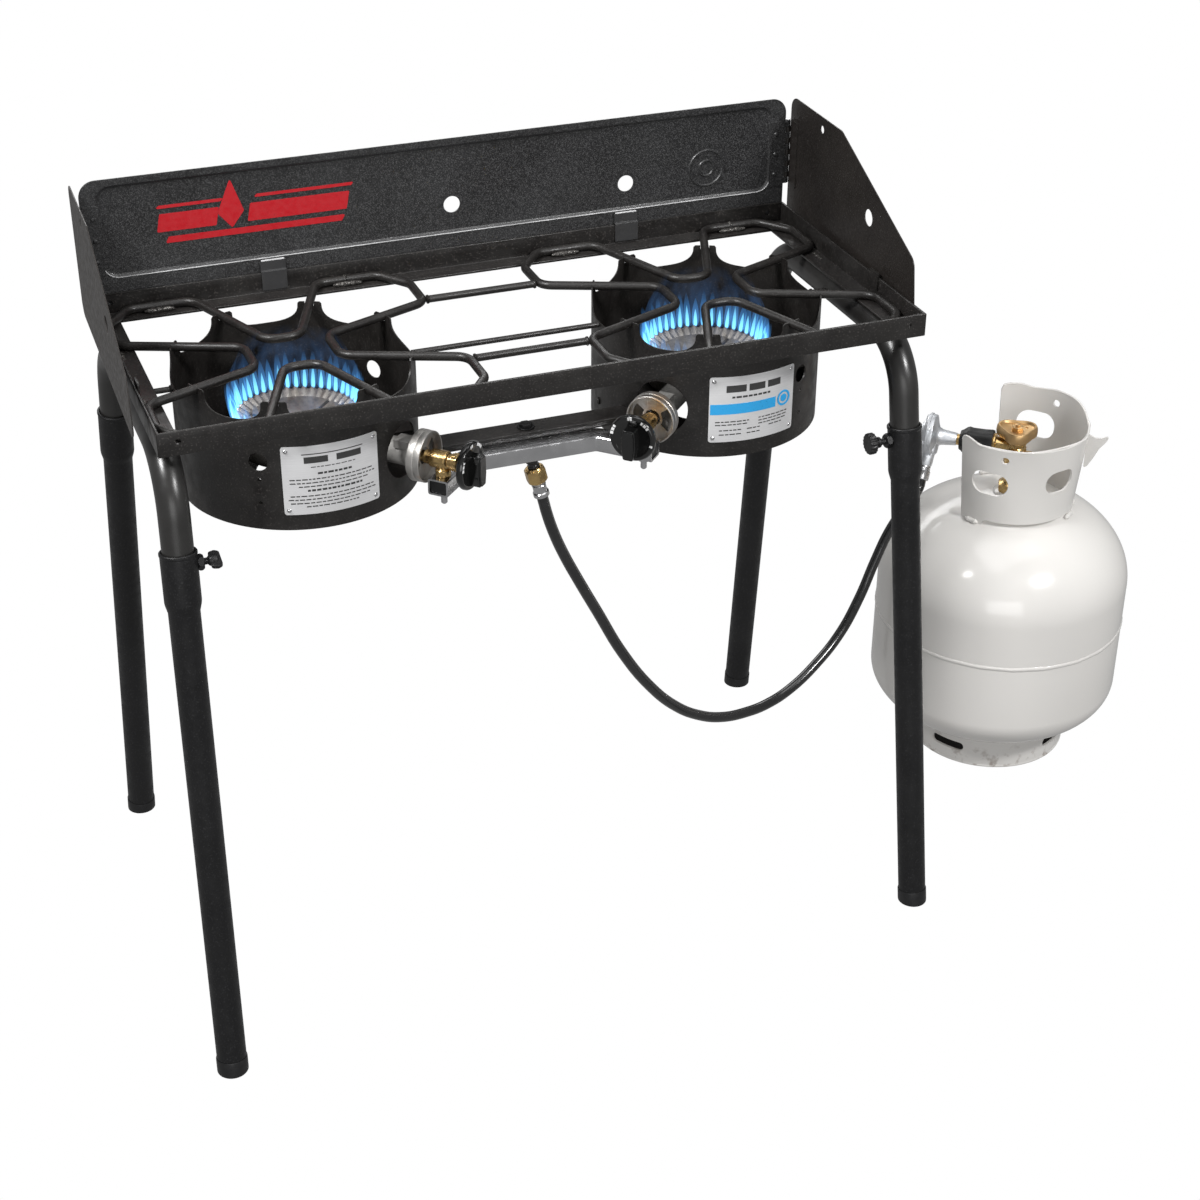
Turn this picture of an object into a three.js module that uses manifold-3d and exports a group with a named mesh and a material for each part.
// Two-burner propane camp stove stand with its gas hose, regulator and 20 lb cylinder.
// Millimetres, +Z up. X runs along the front, -Y is the side the cook stands on.
import * as THREE from 'three';
import { mergeVertices } from 'three/addons/utils/BufferGeometryUtils.js';
import Module from 'manifold-3d';

const wasm = await Module();
wasm.setup();

// ---- driving dimensions -------------------------------------------------------------------
const FRAME = { length: 812.8, depth: 355.6, top: 720, leg: 25.4, wall: 3 };
const BURNER_X = 232;
const GAP = 0.3;
const ROD_RADIUS = 4.75;
const DRUM = { radius: 126, wall: 1.5, bottom: 562, top: 705 };
const GAS_AXIS_Z = 614;
const TUBE_RADIUS = 15.9;
const MANIFOLD = { width: 23, height: 18, wall: 2, z: 587 };
const HOSE_RADIUS = 6.25;
const SCREEN = { halfWidth: 406.5, skirt: 700, top: 845, sheet: 1.2 };
const CYLINDER = { x: 676, y: 40, radius: 157, collar: 80 };
const VALVE_Z = 412;
const FOOT = { x: 410, y: 255 };
const LEG_CORNER = { x: 394, y: 154.7, z: 678.4 };
const SOCKET_TOP = 588;
const SIDES = [['left', -1], ['right', 1]];
const ENDS = [['front', -1], ['rear', 1]];

const FOOT_CAP_RADIUS = 17.6;
const group = new THREE.Group();

// ---- helpers ------------------------------------------------------------------------------
const UP = new THREE.Vector3(0, 0, 1);
const vec = (x, y, z) => new THREE.Vector3(x, y, z);

const finish = (color, roughness, metalness) =>
  new THREE.MeshStandardMaterial({ color, roughness, metalness });

const paint = {
  frame: () => finish(0x2b2927, 0.5, 0.4),
  leg: () => finish(0x1c1c1d, 0.6, 0.3),
  screen: () => finish(0x2a2b2d, 0.7, 0.3),
  casting: () => finish(0xa9a59c, 0.5, 0.8),
  zinc: () => finish(0xb4b6b8, 0.3, 0.9),
  brass: () => finish(0xc09a4a, 0.3, 0.9),
  knob: () => finish(0x101010, 0.25, 0),
  rubber: () => finish(0x1a1a1b, 0.8, 0),
  plate: () => finish(0xc9c9cb, 0.35, 0.9),
  tank: () => finish(0xdedcd8, 0.3, 0.1),
};

function solid(geometry) {
  const bare = geometry.clone();
  for (const name of ['normal', 'uv']) bare.deleteAttribute(name);
  const merged = mergeVertices(bare, 1e-4);
  const numbers = { numProp: 3, vertProperties: merged.attributes.position.array };
  return new wasm.Manifold(new wasm.Mesh({ ...numbers, triVerts: Uint32Array.from(merged.index.array) }));
}

function shell(body) {
  const mesh = body.getMesh();
  const geometry = new THREE.BufferGeometry();
  geometry.setAttribute('position', new THREE.BufferAttribute(mesh.vertProperties, 3));
  geometry.setIndex(new THREE.BufferAttribute(mesh.triVerts, 1));
  return geometry;
}

function join(first, ...others) {
  return shell(others.reduce((body, item) => body.add(solid(item)), solid(first)));
}

function cut(first, ...others) {
  return shell(others.reduce((body, item) => body.subtract(solid(item)), solid(first)));
}

function add(name, geometry, material, parent = group) {
  const mesh = new THREE.Mesh(geometry, material);
  mesh.name = name;
  parent.add(mesh);
  return mesh;
}

const moved = (geometry, x, y, z) => geometry.clone().translate(x, y, z);

// Turns a shape made along +Z so that it lies along a direction and starts at a point.
function aim(geometry, start, direction) {
  const turn = new THREE.Quaternion().setFromUnitVectors(UP, direction.clone().normalize());
  return geometry.clone().applyQuaternion(turn).translate(start.x, start.y, start.z);
}

const box = (sx, sy, sz, x, y, z) => new THREE.BoxGeometry(sx, sy, sz).translate(x, y, z);

// A round or many-sided bar along +Z, from z0 to z1.
function bar(radius, z0, z1, sides = 16, topRadius = radius) {
  const body = new THREE.CylinderGeometry(topRadius, radius, z1 - z0, sides);
  return body.rotateX(Math.PI / 2).translate(0, 0, (z0 + z1) / 2);
}

// A turned shape about +Z from [radius, height] pairs; a ring's outline is closed on itself.
function turned(points, sides = 24, ring = false) {
  const outline = points.map(([r, z]) => new THREE.Vector2(r, z));
  if (ring) outline.push(outline[0].clone());
  return outward(new THREE.LatheGeometry(outline, sides).rotateX(Math.PI / 2));
}

// Flips a closed body whose faces point inwards.
function outward(geometry) {
  const position = geometry.attributes.position;
  const index = geometry.index.array;
  let volume = 0;
  const corner = [vec(0, 0, 0), vec(0, 0, 0), vec(0, 0, 0)];
  for (let i = 0; i < index.length; i += 3) {
    corner.forEach((point, k) => point.fromBufferAttribute(position, index[i + k]));
    volume += corner[0].dot(corner[1].clone().cross(corner[2]));
  }
  if (volume < 0) {
    for (let i = 0; i < index.length; i += 3) [index[i], index[i + 1]] = [index[i + 1], index[i]];
  }
  return geometry;
}

function slab(outline, thickness, holes = []) {
  const shape = new THREE.Shape(outline.map(([x, y]) => new THREE.Vector2(x, y)));
  for (const [x, y, radius] of holes) {
    shape.holes.push(new THREE.Path().absarc(x, y, radius, 0, 2 * Math.PI, true));
  }
  return new THREE.ExtrudeGeometry(shape, { depth: thickness, bevelEnabled: false, curveSegments: 6 });
}

// A path that is straight between its corners and bent to a radius at them.
class BentPath extends THREE.Curve {
  constructor(stations) {
    super();
    this.stations = stations;
  }

  static fromCorners(corners, radius, arcSteps = 2) {
    const stations = [corners[0]];
    for (let i = 1; i < corners.length - 1; i += 1) {
      const back = corners[i - 1].clone().sub(corners[i]);
      const ahead = corners[i + 1].clone().sub(corners[i]);
      const half = back.angleTo(ahead) / 2;
      const reach = Math.min(radius / Math.tan(half), back.length() * 0.48, ahead.length() * 0.48);
      const from = corners[i].clone().addScaledVector(back.normalize(), reach);
      const to = corners[i].clone().addScaledVector(ahead.normalize(), reach);
      const bend = new THREE.QuadraticBezierCurve3(from, corners[i], to);
      stations.push(...bend.getPoints(arcSteps));
    }
    stations.push(corners[corners.length - 1]);
    return new BentPath(stations);
  }

  get steps() {
    return this.stations.length - 1;
  }

  getPoint(t) {
    const at = Math.min(t * this.steps, this.steps - 1e-9);
    const i = Math.floor(at);
    return this.stations[i].clone().lerp(this.stations[i + 1], at - i);
  }

  getPointAt(u) {
    return this.getPoint(u);
  }

  getTangentAt(u) {
    const i = Math.round(u * this.steps);
    const before = this.stations[Math.max(i - 1, 0)];
    const here = this.stations[i];
    const after = this.stations[Math.min(i + 1, this.steps)];
    const come = here.clone().sub(before).normalize();
    const go = after.clone().sub(here).normalize();
    return come.add(go).normalize();
  }

  getSpacedPoints(divisions) {
    return Array.from({ length: divisions + 1 }, (_, i) => this.getPoint(i / divisions));
  }
}

function circle(radius, sides, bore = 0) {
  const point = (r, i) => new THREE.Vector2(r, 0).rotateAround(new THREE.Vector2(), (2 * Math.PI * i) / sides);
  const ring = (r) => Array.from({ length: sides }, (_, i) => point(r, i));
  const shape = new THREE.Shape(ring(radius));
  if (bore > 0) shape.holes.push(new THREE.Path(ring(bore).reverse()));
  return shape;
}

function rectangle(width, height) {
  const [x, y] = [width / 2, height / 2];
  return new THREE.Shape([[-x, -y], [x, -y], [x, y], [-x, y]].map(([a, b]) => new THREE.Vector2(a, b)));
}

const sweep = (section, path) =>
  new THREE.ExtrudeGeometry(section, { steps: path.steps, extrudePath: path, bevelEnabled: false });

// ---- angle-iron frame ---------------------------------------------------------------------
const railBase = FRAME.top - FRAME.leg;

// One mitred length of angle along X with its upright leg on the +Y side.
function angleRail(length) {
  const { leg, wall } = FRAME;
  const profile = [[0, 0], [leg, 0], [leg, leg], [leg - wall, leg], [leg - wall, wall], [0, wall]];
  const rail = slab(profile, length - 2 * GAP).translate(-leg, 0, GAP - length / 2);
  rail.applyMatrix4(new THREE.Matrix4().makeBasis(vec(0, 1, 0), vec(0, 0, 1), vec(1, 0, 0)));
  const position = rail.attributes.position;
  for (let i = 0; i < position.count; i += 1) {
    const inset = -position.getY(i);
    position.setX(i, position.getX(i) - Math.sign(position.getX(i)) * inset);
  }
  return rail;
}

function frameRails() {
  const hole = bar(3, -FRAME.leg, FRAME.leg, 10).rotateX(Math.PI / 2);
  for (const [end, sign] of ENDS) {
    const holes = SIDES.map(([, side]) => moved(hole, side * (FRAME.length / 2 - 20), 0, FRAME.leg / 2 + 2));
    const rail = cut(angleRail(FRAME.length), ...holes);
    if (sign < 0) rail.rotateZ(Math.PI);
    add(`${end}_rail`, rail.translate(0, (sign * FRAME.depth) / 2, railBase), paint.frame());
  }
  for (const [side, sign] of SIDES) {
    const rail = angleRail(FRAME.depth).rotateZ((-sign * Math.PI) / 2);
    rail.translate((sign * FRAME.length) / 2, 0, railBase);
    add(`${side}_rail`, join(rail, windWingTab(sign)), paint.frame());
  }
}

// The tab that rises from a side rail's inner face and steadies the wing above it.
function windWingTab(sign) {
  const inner = FRAME.length / 2 - FRAME.wall;
  const tab = box(1.8, 20, 20, inner - 0.6, -65, FRAME.top - 4);
  return sign < 0 ? tab.rotateZ(Math.PI).translate(0, -130, 0) : tab;
}

// ---- cooking grates -----------------------------------------------------------------------
const rodZ = railBase + FRAME.wall + ROD_RADIUS + GAP;

// A quarter of the star-shaped grate: V tip, two corners on the rail, the outer lobe, the next V tip.
const QUARTER = [[18, 37], [68, 167.5], [138, 167.5], [165.5, 130], [165.5, 76], [44, 27]];
const LOBE_X = QUARTER[3][0];

function starCorners() {
  const mirrored = (sx, sy) => QUARTER.map(([x, y]) => [sx * x, sy * y]);
  const loop = [
    ...mirrored(1, 1), ...mirrored(1, -1).reverse(),
    ...mirrored(-1, -1), ...mirrored(-1, 1).reverse(),
  ];
  const weldX = (QUARTER[1][0] + QUARTER[2][0]) / 2;
  const order = [...loop.slice(2), ...loop.slice(0, 2)];
  const start = [weldX + GAP, QUARTER[1][1]];
  const end = [weldX - GAP, QUARTER[1][1]];
  return [start, ...order, end].map(([x, y]) => vec(x, y, 0));
}

const starRod = (radius) => sweep(circle(radius, 6), BentPath.fromCorners(starCorners(), 16));

function grates() {
  for (const [side, sign] of SIDES) {
    add(`${side}_grate`, starRod(ROD_RADIUS).translate(sign * BURNER_X, 0, rodZ), paint.frame());
  }
  const reach = BURNER_X - LOBE_X - ROD_RADIUS - GAP;
  for (const [end, sign] of ENDS) {
    const link = aim(bar(4, -reach, reach, 8), vec(0, sign * 82, rodZ), vec(1, 0, 0));
    add(`${end}_link_rod`, link, paint.frame());
  }
}

// ---- burner drums -------------------------------------------------------------------------
// The angle at which a straight rod between two points crosses the drum's wall.
function crossingAngle([ax, ay], [bx, by]) {
  const [dx, dy] = [bx - ax, by - ay];
  const a = dx * dx + dy * dy;
  const b = ax * dx + ay * dy;
  const c = ax * ax + ay * ay - DRUM.radius ** 2;
  const t = (Math.sqrt(b * b - a * c) - b) / a;
  return Math.atan2(ay + t * dy, ax + t * dx);
}

const steep = crossingAngle(QUARTER[0], QUARTER[1]);
const shallow = crossingAngle(QUARTER[5], QUARTER[4]);
const ARM_ANGLES = [shallow, steep].flatMap((angle) => [angle, Math.PI - angle, Math.PI + angle, 2 * Math.PI - angle]);
ARM_ANGLES.sort((a, b) => a - b);

// Lays a +Z shape flat so that it points outwards at an angle; its X axis turns upright.
const lay = (geometry, angle) => geometry.clone().rotateY(Math.PI / 2).rotateZ(angle);

function drumScallops() {
  const depth = 22;
  const prong = 0.1;
  return ARM_ANGLES.map((angle, i) => {
    const next = ARM_ANGLES[(i + 1) % 8] + (i === 7 ? 2 * Math.PI : 0);
    const half = ((next - angle) / 2 - prong) * DRUM.radius;
    const bowl = bar(half, DRUM.radius - 20, DRUM.radius + 20, 10).scale(depth / half, 1, 1);
    return lay(bowl, (angle + next) / 2).translate(0, 0, DRUM.top + 1);
  });
}

function drumHole(degrees, z, radius, sides = 8) {
  const drill = bar(radius, DRUM.radius - 20, DRUM.radius + 20, sides);
  return lay(drill, THREE.MathUtils.degToRad(degrees)).translate(0, 0, z);
}

const BRACE_Z = 681;

// The left drum, or the right one as its mirror image, with the bridge that carries the burner.
function drumShell(sign) {
  const { radius, wall, bottom, top } = DRUM;
  const outline = [[radius - wall, bottom], [radius, bottom], [radius, top], [radius - wall, top]];
  const side = (degrees) => (sign < 0 ? degrees : 180 - degrees);
  const holes = [
    drumHole(side(-45), GAS_AXIS_Z + 2, 30, 14),
    drumHole(side(-122), 638, 10), drumHole(side(-122), 618, 2, 6), drumHole(side(-122), 592, 2, 6),
    drumHole(side(34), 636, 10), drumHole(side(34), 616, 2, 6),
  ];
  const rod = starRod(ROD_RADIUS + GAP).translate(0, 0, rodZ);
  const bridge = box(2 * radius - 2, 24, 2.5, 0, 0, 596);
  const stubLength = LEG_CORNER.x - TUBE_RADIUS - GAP - BURNER_X - radius;
  const stub = aim(bar(3, -1, stubLength, 8), vec(sign * radius, 0, BRACE_Z), vec(sign, 0, 0));
  const open = cut(turned(outline, 40, true), ...drumScallops(), ...holes, rod);
  return join(open, bridge, stub).translate(sign * BURNER_X, 0, 0);
}

// A shallow channel that ties the two drums together below the grates.
const CROSSBAR = { y: -60, top: 604, width: 28, height: 8 };

function crossbar() {
  const { y, top, width, height } = CROSSBAR;
  const channel = box(260, width, height, 0, y, top - height / 2);
  const hollow = box(270, width - 4, height, 0, y, top - 2 - height / 2);
  const drum = bar(DRUM.radius + GAP, top - 20, top + 20, 40);
  const hole = moved(bar(3.4, top - 10, top + 10, 10), 0, y, 0);
  return cut(channel, hollow, moved(drum, BURNER_X, 0, 0), moved(drum, -BURNER_X, 0, 0), hole);
}

function drums() {
  for (const [side, sign] of SIDES) add(`${side}_drum`, drumShell(sign), paint.frame());
  const reach = BURNER_X - DRUM.radius - GAP;
  const brace = aim(bar(3, -reach, reach, 8), vec(0, 0, BRACE_Z), vec(1, 0, 0));
  add('centre_brace_rod', brace, paint.frame());
  add('crossbar', crossbar(), paint.frame());
  const { y, top } = CROSSBAR;
  const bolt = join(bar(7.5, top + GAP, top + 5, 6), bar(3, top - 14, top + 1, 10));
  add('crossbar_bolt', moved(bolt, 0, y, 0), paint.leg());
}

// ---- burners, air shutters, valves and knobs ----------------------------------------------
// Each gas line runs level and diagonally from its burner towards the cook and the centre.
const SLANT = Math.cos(Math.PI / 4);
const BOSS_AT = 171;

// Places a shape made along +Z, with +Y up, on the gas line; its origin goes to the burner's axis.
function onGasLine(sign, geometry) {
  const heading = vec(-sign * SLANT, -SLANT, 0);
  const frame = new THREE.Matrix4().makeBasis(UP.clone().cross(heading), UP, heading);
  frame.setPosition(sign * BURNER_X, 0, GAS_AXIS_Z);
  return geometry.clone().applyMatrix4(frame);
}

function gasLinePoint(sign, distance, z) {
  return vec(sign * (BURNER_X - distance * SLANT), -distance * SLANT, z);
}

function burner(sign) {
  const ring = turned([[50, 616], [66, 616], [68, 622], [68, 633], [50, 633]], 24, true);
  const hub = bar(22, 597.6, 626, 10);
  const spokes = [90, 210, 330].map((degrees) => {
    const spoke = box(42, 24, 10, 35, 0, 621);
    return spoke.rotateZ(THREE.MathUtils.degToRad(degrees));
  });
  const casting = join(ring, hub, ...spokes).translate(sign * BURNER_X, 0, 0);
  const tube = onGasLine(sign, bar(14, 10, 134, 12));
  const bell = onGasLine(sign, turned([[0, 130], [14, 130], [26, 139], [26, 147.5], [0, 147.5]], 16));
  const bore = onGasLine(sign, turned([[0, 70], [10, 70], [10, 136], [23, 142], [23, 160], [0, 160]], 12));
  return cut(join(casting, tube, bell), bore);
}

function sector(inner, outer, from, to) {
  const shape = new THREE.Shape().absarc(0, 0, outer, from, to, false);
  shape.absarc(0, 0, inner, to, from, true);
  return shape;
}

// A stamped cup with two openings that turns on the bell to set how much air is drawn in.
function airShutter(sign) {
  const outline = [[9, 148], [26.5, 148], [26.5, 156.5], [25.3, 156.5], [25.3, 149.4], [9, 149.4]];
  const openings = [0, Math.PI].map((start) => {
    const shape = sector(12, 22.5, start - 0.65, start + 0.65);
    const options = { depth: 10, bevelEnabled: false, curveSegments: 5 };
    return new THREE.ExtrudeGeometry(shape, options).translate(0, 0, 144);
  });
  return onGasLine(sign, cut(turned(outline, 16, true), ...openings));
}

function valve(sign) {
  const along = [bar(6, 140, 158, 12), bar(9.5, 156, 178, 6), bar(7, 177, 188, 12), bar(8.5, 187, 194, 6), bar(3, 193, 197, 8)];
  const boss = gasLinePoint(sign, BOSS_AT, 0);
  const top = MANIFOLD.z + MANIFOLD.height / 2;
  const down = [bar(8, top + GAP, GAS_AXIS_Z, 10), bar(4.8, top - 6, top + 1, 10)];
  const [first, ...rest] = along.map((part) => onGasLine(sign, part));
  return join(first, ...rest, ...down.map((part) => moved(part, boss.x, boss.y, 0)));
}

function knob(sign) {
  const dial = turned([[0, 197.4], [20, 197.4], [25.5, 200], [25.5, 203], [23, 205], [0, 205.6]], 18);
  const grip = box(13, 42, 14, 0, 0, 211.5);
  const heel = bar(13, 205, 209, 14);
  return onGasLine(sign, join(dial, grip, heel));
}

function burners() {
  for (const [side, sign] of SIDES) {
    add(`${side}_burner`, burner(sign), paint.casting());
    add(`${side}_air_shutter`, airShutter(sign), paint.zinc());
    add(`${side}_valve`, valve(sign), paint.brass());
    add(`${side}_knob`, knob(sign), paint.knob());
  }
}

// ---- manifold -----------------------------------------------------------------------------
const MANIFOLD_Y = -82;

function manifoldCorners() {
  const boss = gasLinePoint(1, BOSS_AT, MANIFOLD.z);
  const bendX = boss.x - (MANIFOLD_Y - boss.y);
  const beyond = 9.2;
  const right = [vec(bendX, MANIFOLD_Y, MANIFOLD.z), vec(boss.x + beyond, boss.y - beyond, MANIFOLD.z)];
  const left = right.map((p) => vec(-p.x, p.y, p.z)).reverse();
  return [...left, ...right];
}

function manifold() {
  const { width, height, wall, z } = MANIFOLD;
  const section = rectangle(height, width);
  section.holes.push(new THREE.Path(rectangle(height - 2 * wall, width - 2 * wall).getPoints().reverse()));
  const tube = sweep(section, BentPath.fromCorners(manifoldCorners(), 14));
  const drills = SIDES.flatMap(([, sign]) => {
    const { x, y } = gasLinePoint(sign, BOSS_AT, 0);
    return [moved(bar(5.2, z, z + height, 10), x, y, 0), moved(bar(3.3, z - height, z, 10), x, y, 0)];
  });
  return cut(tube, ...drills);
}

function manifoldParts() {
  add('manifold', manifold(), paint.zinc());
  const { width, height, wall, z } = MANIFOLD;
  const base = z - height / 2;
  for (const [side, sign] of SIDES) {
    const end = manifoldCorners()[sign < 0 ? 0 : 3];
    const plug = box(6, width - 2 * wall - 2 * GAP, height - 2 * wall - 2 * GAP, -3, 0, 0);
    plug.rotateZ(sign < 0 ? (-3 * Math.PI) / 4 : -Math.PI / 4);
    add(`${side}_manifold_plug`, moved(plug, end.x, end.y, end.z), paint.rubber());
    const { x, y } = gasLinePoint(sign, BOSS_AT, 0);
    const bolt = join(bar(6, base - 5, base - GAP, 6), bar(3, base - 1, z + 2, 10));
    add(`${side}_valve_bolt`, moved(bolt, x, y, 0), paint.zinc());
  }
}

// ---- hose and its fittings ----------------------------------------------------------------
const HOSE_EXIT = vec(-2, MANIFOLD_Y, MANIFOLD.z - MANIFOLD.height / 2);
const EXIT_LEAN = 0.24;
const exitHeading = vec(Math.sin(EXIT_LEAN), 0, -Math.cos(EXIT_LEAN));
const outletHeading = vec(-0.4, -0.36, -0.84).normalize();
const lineHeading = vec(Math.cos(2.44), Math.sin(2.44), 0);
const regulatorCentre = vec(CYLINDER.x, CYLINDER.y, VALVE_Z).addScaledVector(lineHeading, 104);
const FERRULE_END = 48;
const OUTLET_END = 57;

const hoseStart = HOSE_EXIT.clone().addScaledVector(exitHeading, FERRULE_END + GAP);
const hoseEnd = regulatorCentre.clone().addScaledVector(outletHeading, OUTLET_END + GAP);

// Where the hose hangs between the manifold and the regulator.
const HOSE_HANG = [
  [15, -82, 508], [23, -82, 482], [35, -81, 452], [52, -80, 416], [75, -78, 370], [108, -73, 305],
  [145, -67, 248], [182, -59, 206], [216, -51, 180], [250, -43, 164], [287, -33, 156], [322, -22, 154],
  [359, -9, 160], [398, 6, 176], [440, 24, 203], [472, 39, 240], [496, 50, 281], [517, 59, 313],
  [539, 68, 334], [557, 76, 345],
];

function hosePath() {
  const leave = hoseStart.clone().addScaledVector(exitHeading, 8);
  const arrive = hoseEnd.clone().addScaledVector(outletHeading, 9);
  const points = [leave, ...HOSE_HANG.map(([x, y, z]) => vec(x, y, z)), arrive];
  const curve = new THREE.CatmullRomCurve3(points, false, 'centripetal');
  return new BentPath([hoseStart, ...curve.getSpacedPoints(36), hoseEnd]);
}

function hoseParts() {
  const onExit = (geometry) => aim(geometry, HOSE_EXIT, exitHeading);
  const above = box(60, 60, 20, HOSE_EXIT.x, HOSE_EXIT.y, HOSE_EXIT.z - GAP + 10);
  add('hose_nipple', cut(onExit(bar(6.5, -4, 11, 12)), above), paint.knob());
  add('hose_nut', onExit(bar(12, 11 + GAP, 31, 6)), paint.brass());
  add('hose_ferrule', onExit(bar(8.4, 31 + GAP, FERRULE_END, 12)), paint.zinc());
  add('gas_hose', sweep(circle(HOSE_RADIUS, 8), hosePath()), paint.rubber());
}

// ---- regulator and coupling nut -----------------------------------------------------------
function onOutletLine(geometry) {
  const frame = new THREE.Matrix4().makeBasis(UP.clone().cross(lineHeading), UP, lineHeading);
  frame.setPosition(CYLINDER.x, CYLINDER.y, VALVE_Z);
  return geometry.clone().applyMatrix4(frame);
}

function regulatorParts() {
  const nose = onOutletLine(bar(6.4, 47, 86, 10));
  const inlet = onOutletLine(bar(10, 84, 101, 10));
  const bonnet = onOutletLine(turned([[0, 97], [18, 97], [27, 101], [27, 112], [21, 117], [0, 120]], 20));
  const arm = aim(bar(8, 0, 40, 10), regulatorCentre, outletHeading);
  const ferrule = aim(bar(8.4, 39, OUTLET_END, 12), regulatorCentre, outletHeading);
  add('regulator', join(bonnet, inlet, nose, arm, ferrule), paint.zinc());
  const nut = turned([
    [16.2, 28], [18, 28], [18, 60], [13, 69], [7.2, 69], [7.2, 40.4], [16.2, 40.4],
  ], 10, true);
  add('coupling_nut', onOutletLine(nut), paint.knob());
}

// ---- gas cylinder -------------------------------------------------------------------------
const SEAM_Z = 188;
const HEADS = { wall: 3, lowerZ: 100, lowerRise: 75, upperZ: 240, upperRise: 112 };

// A quarter ellipse from the cylinder's wall to a radius near the axis.
function headCurve(centreZ, radius, rise, steps, endRadius) {
  const last = Math.acos(endRadius / radius);
  return Array.from({ length: steps + 1 }, (_, i) => {
    const angle = (last * i) / steps;
    return [radius * Math.cos(angle), centreZ + rise * Math.sin(angle)];
  });
}

function lowerShell() {
  const { wall, lowerZ, lowerRise } = HEADS;
  const R = CYLINDER.radius;
  const outside = headCurve(lowerZ, R, -lowerRise, 4, 0).reverse();
  const inside = headCurve(lowerZ, R - wall, wall - lowerRise, 3, 0);
  const bead = [[R, SEAM_Z - 5], [R + 1.6, SEAM_Z - 3], [R + 1.6, SEAM_Z - GAP], [R - wall, SEAM_Z - GAP]];
  return turned([...outside, ...bead, ...inside], 24);
}

function upperShell() {
  const { wall, upperZ, upperRise } = HEADS;
  const R = CYLINDER.radius;
  const neck = 17;
  const outside = headCurve(upperZ, R, upperRise, 5, neck);
  const inside = headCurve(upperZ, R - wall, upperRise - wall, 3, neck).reverse();
  return turned([[R - wall, SEAM_Z], [R, SEAM_Z], ...outside, ...inside], 24, true);
}

const COLLAR = { foot: 338, front: 448, rear: 459, bottomRadius: 77, topRadius: 88, wall: 2.5 };

function collarWindow(degrees, z, halfWidth, halfHeight) {
  const angle = THREE.MathUtils.degToRad(degrees);
  const drill = bar(halfWidth, 50, 110, 10).scale(halfHeight / halfWidth, 1, 1);
  return lay(drill, angle).translate(0, 0, z);
}

// A wedge of the collar between two angles, from its foot up to a height.
function collarWedge(from, to, height) {
  const edge = (degrees, reach) => {
    const angle = THREE.MathUtils.degToRad(degrees);
    return [reach * Math.cos(angle), reach * Math.sin(angle)];
  };
  const corners = [[0, 0], edge(from, 160), edge((from + to) / 2, 260), edge(to, 160)];
  return slab(corners, height).translate(0, 0, COLLAR.foot - 2);
}

// The ring is open towards the regulator and has one corner bent outwards at the front.
function collar() {
  const { foot, front, rear, bottomRadius, topRadius, wall } = COLLAR;
  const outline = [[bottomRadius - wall, foot], [bottomRadius, foot], [topRadius, rear], [topRadius - wall, rear]];
  const mouth = collarWedge(74, 189, 200);
  const frontStep = box(260, 130, 40, 0, -75, front + 20);
  const windows = [
    collarWindow(218, 399, 22.5, 15.5), collarWindow(281, 402, 20, 15), collarWindow(41, 410, 24.5, 17),
  ];
  const gaps = [20, 345].map((degrees) => collarWindow(degrees, foot - 2, 22, 12));
  const ring = cut(turned(outline, 24, true), mouth, frontStep, ...windows, collarWedge(214, 306, 10), ...gaps);
  const ear = lay(box(16, 3, 24, 0, 0, 97), THREE.MathUtils.degToRad(318)).translate(0, 0, front - 9);
  return join(ring, ear);
}

function footRing() {
  const ring = turned([[97, 0], [100, 0], [100, 41], [97, 41]], 24, true);
  const slots = [30, 120, 210, 300].map((degrees) => {
    const slot = box(40, 46, 12, 99, 0, 24);
    return slot.rotateZ(THREE.MathUtils.degToRad(degrees));
  });
  return cut(ring, ...slots);
}

function cylinderParts() {
  const stand = new THREE.Group();
  stand.position.set(CYLINDER.x, CYLINDER.y, 0);
  group.add(stand);
  add('cylinder_lower_shell', lowerShell(), paint.tank(), stand);
  add('cylinder_upper_shell', upperShell(), paint.tank(), stand);
  add('cylinder_collar', collar(), paint.tank(), stand);
  add('cylinder_foot_ring', footRing(), paint.tank(), stand);
  const body = join(bar(13, 330, 424, 12), bar(16, 353, 366, 8));
  const outlet = onOutletLine(join(bar(11, 0, 26, 12), bar(15, 24, 40, 12)));
  add('cylinder_valve', join(moved(body, CYLINDER.x, CYLINDER.y, 0), outlet), paint.brass());
  const lobes = [0, 1, 2].map((i) => moved(bar(13, 427, 441, 10), 15, 0, 0).rotateZ((i * 2 * Math.PI) / 3));
  const wheel = join(bar(17, 427, 441, 12), ...lobes, bar(5, 424.4, 428, 8));
  add('cylinder_handwheel', wheel, paint.brass(), stand);
}

// ---- legs ---------------------------------------------------------------------------------
const legVector = (sx, sy) => vec(sx * (FOOT.x - LEG_CORNER.x), sy * (FOOT.y - LEG_CORNER.y), -LEG_CORNER.z);
const SOCKET = { radius: 18.4, bore: 16.8, length: 54, overlap: 50 };
const LEG_WALL = 1.4;

// A point on a leg's axis at a given height.
function legPoint(sx, sy, z) {
  const corner = vec(sx * LEG_CORNER.x, sy * LEG_CORNER.y, LEG_CORNER.z);
  return corner.addScaledVector(legVector(sx, sy), (LEG_CORNER.z - z) / LEG_CORNER.z);
}

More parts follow.
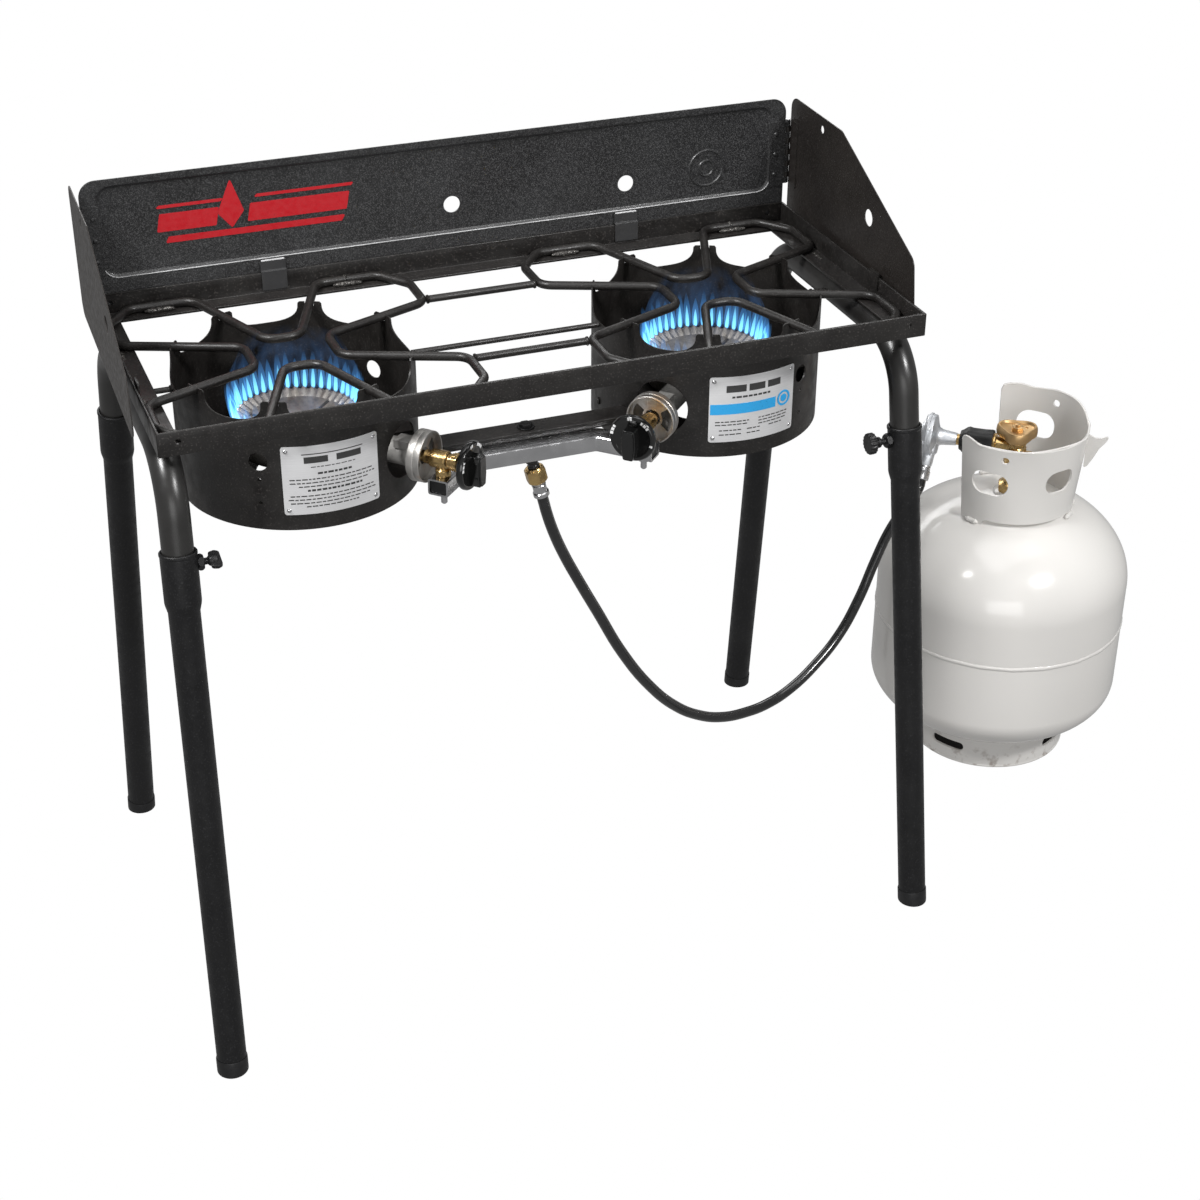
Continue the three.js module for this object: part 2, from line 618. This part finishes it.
// One tube bent into a wide inverted U, welded under a side rail; its two ends carry the lower legs.
function archTube(sign) {
  const corners = [
    legPoint(sign, -1, SOCKET_TOP - SOCKET.overlap), legPoint(sign, -1, LEG_CORNER.z),
    legPoint(sign, 1, LEG_CORNER.z), legPoint(sign, 1, SOCKET_TOP - SOCKET.overlap),
  ];
  const path = BentPath.fromCorners(corners, 65, 4);
  return sweep(circle(TUBE_RADIUS, 10, TUBE_RADIUS - LEG_WALL), path);
}

const SCREW_Z = 573;
const SCREW_RADIUS = 3.5;

function lowerLeg(sx, sy) {
  const { radius, bore, length } = SOCKET;
  const foot = legPoint(sx, sy, 0);
  const heading = legVector(sx, sy).negate();
  const top = legPoint(sx, sy, SOCKET_TOP).distanceTo(foot);
  const [r, inner] = [TUBE_RADIUS, TUBE_RADIUS - LEG_WALL];
  const outline = [
    [inner, 4], [r, 4], [r, top - length - 7], [radius, top - length], [radius, top],
    [bore, top], [bore, top - length], [inner, top - length - 7],
  ];
  const tube = aim(turned(outline, 12, true), foot, heading);
  const at = legPoint(sx, sy, SCREW_Z);
  const nut = aim(bar(8, bore + 0.8, bore + 7, 6), at, vec(-sx, 0, 0));
  const drill = aim(bar(SCREW_RADIUS + GAP, 4, 40, 8), at, vec(-sx, 0, 0));
  return cut(join(tube, nut), drill);
}

function footCap(sx, sy) {
  const cup = [[0, -6], [FOOT_CAP_RADIUS, -6], [FOOT_CAP_RADIUS, 18], [TUBE_RADIUS + GAP, 18], [TUBE_RADIUS + GAP, 3.6], [0, 3.6]];
  const body = aim(turned(cup, 12), legPoint(sx, sy, 0), legVector(sx, sy).negate());
  return cut(body, box(80, 80, 40, sx * FOOT.x, sy * FOOT.y, -20));
}

// A screw with a flat wing on the left legs and a round fluted head on the right ones.
function thumbscrew(sx, sy) {
  const tip = TUBE_RADIUS + 0.5;
  const shank = bar(SCREW_RADIUS, tip, 35, 8);
  const collarRing = bar(5.5, 30, 34, 10);
  const head = sx < 0
    ? join(box(24, 4.5, 13, 0, 0, 42), bar(6, 34, 44, 10))
    : bar(11, 36, 45, 12);
  const at = legPoint(sx, sy, SCREW_Z);
  return aim(join(shank, collarRing, bar(4.5, 33, 38, 8), head), at, vec(-sx, 0, 0));
}

function legs() {
  for (const [side, sx] of SIDES) {
    add(`${side}_arch_tube`, archTube(sx), paint.frame());
    for (const [end, sy] of ENDS) {
      add(`${end}_${side}_leg`, lowerLeg(sx, sy), paint.leg());
      add(`${end}_${side}_foot_cap`, footCap(sx, sy), paint.rubber());
      add(`${end}_${side}_thumbscrew`, thumbscrew(sx, sy), paint.leg());
    }
  }
}

// ---- windscreen ---------------------------------------------------------------------------
const SCREEN_Y = FRAME.depth / 2 + 0.5;
const HINGE = { x: 410.5, y: 181.5, radius: 3, bore: 1.8, pin: 1.4, from: 742, knuckle: 15, count: 5 };
const CLIP = { x: 207, width: 28 };

// The knuckles of one leaf of a wing's hinge: even ones belong to the back, odd ones to the wing.
function knuckles(sign, odd, leaf) {
  const parts = [];
  for (let i = odd; i < HINGE.count; i += 2) {
    const low = HINGE.from + i * HINGE.knuckle + 0.2;
    const high = low + HINGE.knuckle - 0.4;
    const { radius, bore } = HINGE;
    const outline = [[bore, low], [radius, low], [radius, high], [bore, high]];
    const barrel = turned(outline, 8, true).translate(sign * HINGE.x, HINGE.y, 0);
    const hole = bar(bore, low - 1, high + 1, 8).translate(sign * HINGE.x, HINGE.y, 0);
    parts.push(cut(join(barrel, leaf(low, high)), hole));
  }
  return parts;
}

function screenClip(x) {
  const inner = FRAME.depth / 2 - FRAME.wall;
  const outline = [
    [inner - 1.9, 700], [inner - GAP, 700], [inner - GAP, FRAME.top + GAP], [SCREEN_Y + 0.4, FRAME.top + GAP],
    [SCREEN_Y + 0.4, 730], [SCREEN_Y - 1.4, 730], [SCREEN_Y - 1.4, 722], [inner - 1.9, 722],
  ];
  const strip = slab(outline, CLIP.width).translate(0, 0, -CLIP.width / 2);
  strip.applyMatrix4(new THREE.Matrix4().makeBasis(vec(0, 1, 0), UP, vec(1, 0, 0)));
  return strip.translate(x, 0, 0);
}

function screenBack() {
  const { halfWidth, skirt, top, sheet } = SCREEN;
  const corner = 18;
  const outline = [
    [-halfWidth, skirt], [halfWidth, skirt], [halfWidth, top - corner], [halfWidth - corner * 0.3, top - corner * 0.3],
    [halfWidth - corner, top], [corner - halfWidth, top], [corner * 0.3 - halfWidth, top - corner * 0.3],
    [-halfWidth, top - corner],
  ];
  const panel = slab(outline, sheet, [[0, 768, 9.5], [208, 766, 9.5]]);
  panel.applyMatrix4(new THREE.Matrix4().makeBasis(vec(1, 0, 0), UP, vec(0, -1, 0)));
  panel.translate(0, SCREEN_Y + sheet, 0);
  const leaf = (sign) => (low, high) =>
    box(HINGE.x - halfWidth + 4, sheet, high - low, (sign * (HINGE.x + halfWidth - 4)) / 2, SCREEN_Y + sheet / 2, (low + high) / 2);
  const hinges = SIDES.flatMap(([, sign]) => knuckles(sign, 0, leaf(sign)));
  return join(panel, screenClip(-CLIP.x), screenClip(CLIP.x), ...hinges);
}

const WING = { x: 413.7, rear: 181, sheet: 1.2 };
const WING_TURN = { left: -0.025, right: -0.02 };

// The wing's outline in Y and Z: level along the back of its top edge, then sloping to the front.
const WING_OUTLINE = [
  [181, 712], [181, 836], [178, 843], [171, 846], [52, 846], [38, 843], [-131, 768], [-143, 758],
  [-147, 745], [-150, 704], [-146, 700], [173, 700],
];

// Each wing lies against the outside of its hinge's barrels.
function wing(side, sign) {
  const panel = slab(WING_OUTLINE, WING.sheet, [[97, 832, 4.5], [-30, 773, 9.5]]);
  panel.applyMatrix4(new THREE.Matrix4().makeBasis(vec(0, 1, 0), UP, vec(1, 0, 0)));
  panel.translate(sign < 0 ? -WING.x - WING.sheet : WING.x, 0, 0);
  const leaf = (low, high) => box(1.4, 4, high - low, sign * (WING.x - 0.4), HINGE.y, (low + high) / 2);
  const body = join(panel, ...knuckles(sign, 1, leaf));
  const turn = WING_TURN[side];
  return body.translate(-sign * HINGE.x, -HINGE.y, 0).rotateZ(turn).translate(sign * HINGE.x, HINGE.y, 0);
}

function windscreen() {
  add('windscreen_back', screenBack(), paint.screen());
  const top = HINGE.from + HINGE.count * HINGE.knuckle;
  for (const [side, sign] of SIDES) {
    add(`${side}_wind_wing`, wing(side, sign), paint.screen());
    const pin = join(bar(HINGE.pin, HINGE.from - 1, top + 0.6, 8), bar(2.6, top + 0.5, top + 2, 8));
    add(`${side}_hinge_pin`, moved(pin, sign * HINGE.x, HINGE.y, 0), paint.zinc());
  }
}

// ---- label plates -------------------------------------------------------------------------
const PLATE = { from: -111.2, to: -64.8, low: 580, high: 656, sheet: 0.8 };

function labelPlate(sign) {
  const { from, to, low, high, sheet } = PLATE;
  const inner = DRUM.radius + GAP;
  const [a, b] = [from, to].map(THREE.MathUtils.degToRad);
  const options = { depth: high - low, bevelEnabled: false, curveSegments: 6 };
  const plate = new THREE.ExtrudeGeometry(sector(inner, inner + sheet, a, b), options).translate(0, 0, low);
  const inset = 0.045;
  const rivets = [a + inset, b - inset].flatMap((angle) => [low + 6, high - 6].map((z) => {
    const rivet = bar(2.2, inner + sheet / 2, inner + sheet + 1, 6);
    return lay(rivet, angle).translate(0, 0, z);
  }));
  return join(plate, ...rivets).translate(sign * BURNER_X, 0, 0);
}

// ---- assembly -----------------------------------------------------------------------------
frameRails();
grates();
drums();
burners();
manifoldParts();
hoseParts();
regulatorParts();
cylinderParts();
legs();
windscreen();
for (const [side, sign] of SIDES) add(`${side}_label_plate`, labelPlate(sign), paint.plate());

// The origin lies on the ground under the middle of the whole set.
const bounds = new THREE.Box3().setFromObject(group);
group.position.x = -(bounds.min.x + bounds.max.x) / 2;
group.position.y = -(bounds.min.y + bounds.max.y) / 2;

export default group;
